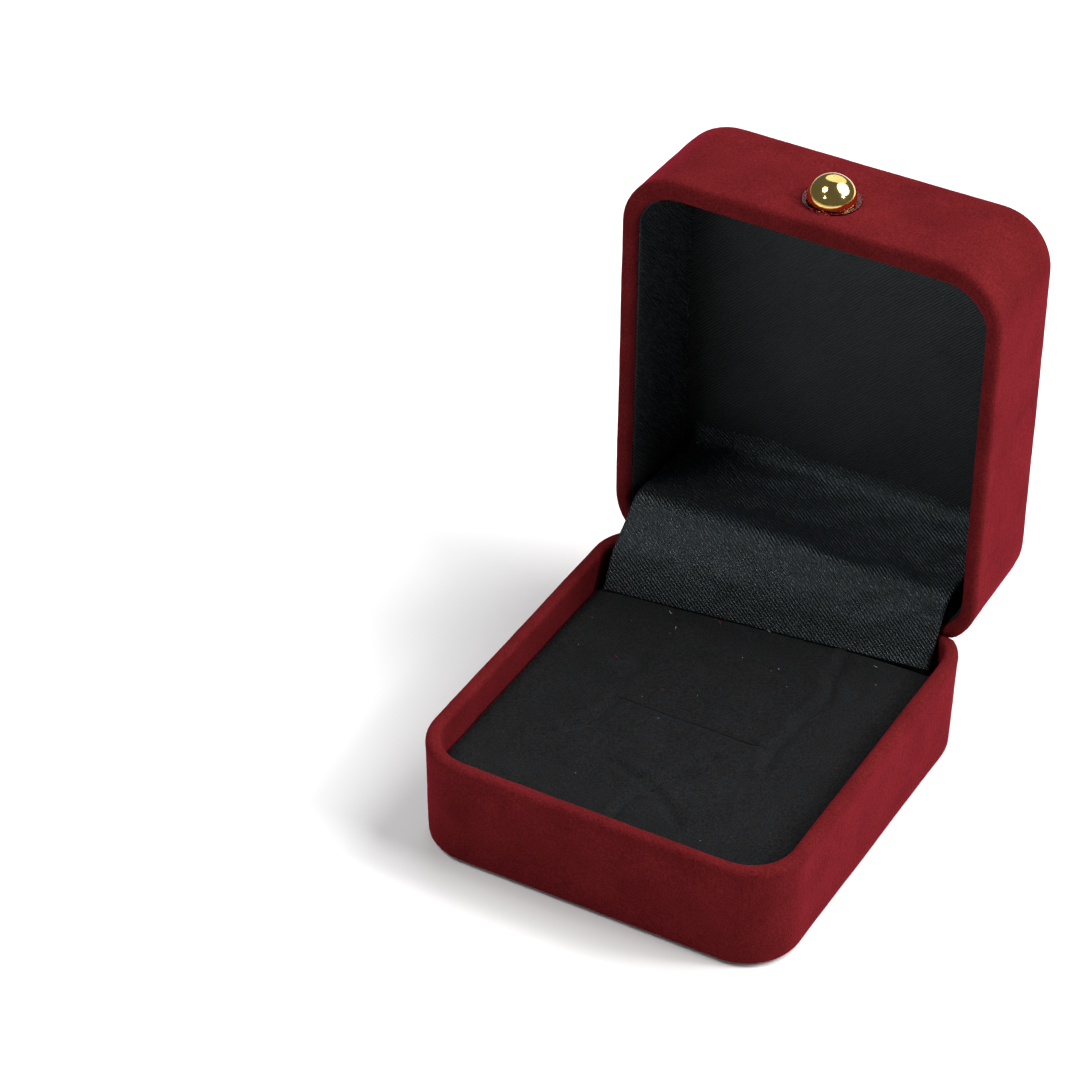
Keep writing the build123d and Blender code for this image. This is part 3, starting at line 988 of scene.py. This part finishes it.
def flap():
    """The loose strip of satin over the hinge: it bulges over the pad's back at the left, rises to a
    crest and runs back into the lid, where it turns up over the lining."""
    columns = between(FLAP_SHIFT - FLAP_HALF, FLAP_SHIFT + FLAP_HALF, FLAP_COLUMNS)
    outer = []
    inner = []
    uv = []
    for x in columns:
        across = (x - columns[0]) / (columns[-1] - columns[0])
        controls = []
        for (left_y, left_z), (right_y, right_z) in zip(FLAP_LEFT, FLAP_RIGHT):
            y = left_y + (right_y - left_y) * across
            controls.append((y, left_z + (right_z - left_z) * across))
        line = rounded(controls)
        distances = [0.0]
        for (y, z), (next_y, next_z) in zip(line, line[1:]):
            distances.append(distances[-1] + hypot(next_y - y, next_z - z))
        for i, (y, z) in enumerate(line):
            before = line[max(i - 1, 0)]
            after = line[min(i + 1, len(line) - 1)]
            run = hypot(after[0] - before[0], after[1] - before[1])
            normal_y = (before[1] - after[1]) / run
            normal_z = (after[0] - before[0]) / run
            off = flap_wave(x, distances[i] / distances[-1])
            for layer, side in ((outer, 0.5), (inner, -0.5)):
                stand = off + side * FLAP_THICK
                layer.append((x, y + normal_y * stand, z + normal_z * stand))
            uv.append((x, distances[i]))
    count = len(line)
    rows = len(columns)
    faces = grid_faces(rows, count)
    second = rows * count
    faces += [tuple(i + second for i in face) for face in faces]
    border = grid_border(rows, count)
    faces += band(border, [i + second for i in border])
    piece = add_mesh("satin_flap_cloth", outer + inner, faces, black_satin, uv=uv + uv)
    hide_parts("satin_flap")
    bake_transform(piece)


# ---- the knob

washer_low, washer_high = node_box("knob_washer", closed=True)
KNOB_Z = (washer_low[2] + washer_high[2]) / 2
WASHER_BACK = washer_high[1]
WASHER_FRONT = washer_low[1]
WASHER_R = washer_high[0]
BALL_R = node_box("knob_ball")[1][0]
BALL_Y = node_box("knob_ball", closed=True)[0][1] + BALL_R
BALL_TIP = 0.02  # the tiny flats where the turned profile meets its axis
STEM_R = node_box("knob_stem")[1][0]
BORE_DEPTH = 2.0
TURN_SEGMENTS = 96


def turned_piece(name, profile, material):
    """A closed ring or cup turned about the knob's axis, from (radius, y) points."""
    points = []
    for k in range(TURN_SEGMENTS):
        turn = 2 * pi * k / TURN_SEGMENTS
        for radius, y in profile:
            points.append((radius * cos(turn), y, KNOB_Z + radius * sin(turn)))
    faces = grid_faces(TURN_SEGMENTS, len(profile), True, True)
    return add_mesh(name, points, faces, material, closed=True)


def knob():
    """The gold half ball, bored for its stem, and the clear washer behind it."""
    profile = [(BALL_TIP, BALL_Y - BALL_R)]
    for a in between(0.04, pi / 2, 48):
        profile.append((BALL_R * sin(a), BALL_Y - BALL_R * cos(a)))
    profile.append((STEM_R, WASHER_FRONT))
    profile.append((STEM_R, WASHER_FRONT - BORE_DEPTH))
    profile.append((BALL_TIP, WASHER_FRONT - BORE_DEPTH))
    ball = turned_piece("gold_ball", profile, gold_plate)
    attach(ball, "lid")
    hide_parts("knob_ball")
    half = (WASHER_BACK - WASHER_FRONT) / 2
    profile = [(STEM_R, WASHER_FRONT)]
    for a in arc(9, -90, 90):
        profile.append((WASHER_R - half + half * cos(a), WASHER_FRONT + half + half * sin(a)))
    profile.append((STEM_R, WASHER_BACK))
    washer = turned_piece("clear_washer", profile, washer_plastic)
    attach(washer, "lid")
    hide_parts("knob_washer")


# ---- fluff and lint

FIBRE_STEPS = 5
TUFT_SPOTS = ((24.6, WELT_Y + 0.5), (-22.3, WELT_Y + 0.3))
RED_LINT = ((-7.1, 21.3), (-6.8, 21.1), (-12.2, 15.1), (-16.6, 6.2), (-7.6, 21.6))
PALE_LINT = ((-11.9, 16.9), (-14.1, 19.5), (0.8, 22.8), (18.3, 23.2), (5.8, 15.6))


def fibre(start, direction, length, radius, curl, rng):
    """One short curved fibre as a thin closed three-sided tube."""
    points = []
    heading = Vector(direction).normalized()
    spot = Vector(start)
    for k in range(FIBRE_STEPS + 1):
        side = heading.orthogonal().normalized()
        other = heading.cross(side)
        width = radius * (1 - 0.7 * k / FIBRE_STEPS)
        for turn in (0, 2 * pi / 3, 4 * pi / 3):
            points.append(spot + (side * cos(turn) + other * sin(turn)) * width)
        heading = (heading + Vector(rng.uniform(-curl, curl, 3))).normalized()
        spot = spot + heading * length / FIBRE_STEPS
    faces = grid_faces(FIBRE_STEPS + 1, 3, False, True)
    faces += [(2, 1, 0), tuple(3 * FIBRE_STEPS + k for k in range(3))]
    return points, faces


def speck(x, y, lift, length, radius, curl, rng):
    """One fibre that lies on the pad, pointing any way."""
    direction = rng.uniform(-1, 1, 3) * (1, 1, 0.1)
    return fibre((x, y, PAD_TOP + lift), direction, length, radius, curl, rng)


def fibres(name, made, material, body, closed=False):
    """Several fibres as one piece."""
    points = []
    faces = []
    for made_points, made_faces in made:
        offset = len(points)
        points += made_points
        faces += [tuple(i + offset for i in face) for face in made_faces]
    piece = add_mesh(name, points, faces, material, closed=closed)
    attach(piece, body)


def tuft(centre, count, spread, length, lift, rng):
    """A small bunch of fibres that sprouts from one spot, the more upright the larger lift is."""
    made = []
    for _ in range(count):
        start = Vector(centre) + Vector(rng.normal(0, spread, 3)) * 0.6
        direction = Vector(rng.normal(0, 0.7, 3))
        direction.z = abs(direction.z) + lift
        made.append(fibre(start, direction, length * rng.uniform(0.6, 1.2), 0.07, 0.45, rng))
    return made


def fluff():
    """Tufts where the cloth was trimmed, and lint on the black pad."""
    rng = np.random.default_rng(7)
    corners = []
    for x, y in TUFT_SPOTS:
        spot = (x, y, LID_TOP - 0.85)
        corners += tuft(spot, count=44, spread=0.45, length=0.35, lift=0.0, rng=rng)
    fibres("welt_tufts", corners, red_fluff, "lid", closed=True)
    front_left = (-24.6, -27.4, PAD_TOP - 0.2)
    back_right = (26.4, 24.9, PAD_TOP - 0.1)
    red = tuft(front_left, count=30, spread=0.45, length=0.6, lift=0.4, rng=rng)
    red += tuft(back_right, count=26, spread=0.4, length=0.7, lift=0.4, rng=rng)
    for x, y in RED_LINT:
        red.append(speck(x, y, lift=0.25, length=0.6, radius=0.08, curl=0.5, rng=rng))
    for _ in range(9):
        x, y = rng.uniform((-24, -26), (24, 18))
        red.append(speck(x, y, lift=0.22, length=0.3, radius=0.045, curl=0.5, rng=rng))
    fibres("red_lint", red, red_fluff, "base")
    pale = []
    for x, y in PALE_LINT:
        pale.append(speck(x, y, lift=0.27, length=0.7, radius=0.06, curl=0.6, rng=rng))
    for _ in range(16):
        x, y = rng.uniform((-25, -27), (25, 20))
        pale.append(speck(x, y, lift=0.24, length=0.25, radius=0.035, curl=0.6, rng=rng))
    fibres("pale_lint", pale, grey_lint, "base")


# ---- floor, light and camera

LAMP_TARGET = (0, 0.02, 0.03)
DAYLIGHT = (1.0, 0.99, 0.98)
WHITE = (1.0, 1.0, 1.0)
# Each lamp's name, place in metres, size, power and colour
LAMPS = (
    ("key", (0.58, 0.36, 0.78), 0.90, 15.5, DAYLIGHT),
    ("key_lamp_low", (0.80, -0.02, 0.52), 0.16, 1.8, DAYLIGHT),
    ("key_lamp_high", (0.72, 0.24, 0.68), 0.16, 2.6, DAYLIGHT),
    ("back", (-0.18, 0.86, 0.82), 1.20, 4.0, WHITE),
    ("top", (-0.38, -0.36, 0.88), 0.36, 4.3, WHITE),
    ("front", (-0.19, -0.81, 0.56), 0.12, 0.7, WHITE),
)
FLOOR_SIZE = 12.0
CAMERA_YAW = 28.906
CAMERA_PITCH = 36.42
CAMERA_ROLL = 0.72
CAMERA_AIM = (-49.345, 42.004, 0.0)
CAMERA_DISTANCE = 644.07
CAMERA_LENS = 134.30
CAMERA_SENSOR = 36.0


def floor():
    """A plain pale floor."""
    bpy.ops.mesh.primitive_plane_add(size=FLOOR_SIZE)
    plane = bpy.context.object
    plane.name = "floor"
    made = Shader("pale_floor", roughness=0.75, specular_ior_level=0.2)
    tone = made.ramp(made.noise(size=60.0), [(0.3, grey(0.83)), (0.7, grey(0.85))])
    made.link(tone, made.main.inputs["Base Color"])
    plane.data.materials.append(made.material)


def lights():
    """Soft lamps and a faint even sky."""
    world = bpy.data.worlds.new("studio")
    bpy.context.scene.world = world
    world.use_nodes = True
    background = world.node_tree.nodes["Background"]
    background.inputs["Color"].default_value = (0.95, 0.97, 1.0, 1)
    background.inputs["Strength"].default_value = 0.12
    for name, place, size, power, colour in LAMPS:
        light = bpy.data.lights.new(name, "AREA")
        light.shape = "DISK"
        light.size = size
        light.energy = power
        light.color = colour
        lamp = bpy.data.objects.new(name, light)
        lamp.location = place
        away = Vector(place) - Vector(LAMP_TARGET)
        lamp.rotation_euler = away.to_track_quat("Z", "Y").to_euler()
        bpy.context.scene.collection.objects.link(lamp)


def camera():
    """The camera, which looks down from the front right at a point beside the box."""
    yaw = radians(CAMERA_YAW)
    pitch = radians(CAMERA_PITCH)
    back = Vector((sin(yaw) * cos(pitch), -cos(yaw) * cos(pitch), sin(pitch)))
    right = Vector((cos(yaw), sin(yaw), 0))
    level = Matrix((right, back.cross(right), back)).transposed().to_4x4()
    tilt = Matrix.Rotation(radians(CAMERA_ROLL), 4, "Z")
    place = Vector(CAMERA_AIM) + back * CAMERA_DISTANCE
    data = bpy.data.cameras.new("camera")
    data.lens = CAMERA_LENS
    data.sensor_width = CAMERA_SENSOR
    made = bpy.data.objects.new("camera", data)
    made.matrix_world = Matrix.Translation(place * MM) @ level @ tilt
    bpy.context.scene.collection.objects.link(made)
    bpy.context.scene.camera = made


bpy.context.scene.view_settings.view_transform = "Standard"
camera()
floor()
lights()
paint_nodes()
velvet_covers()
sunburst_panel()
pad()
lining_top()
lining_walls()
flap()
knob()
fluff()
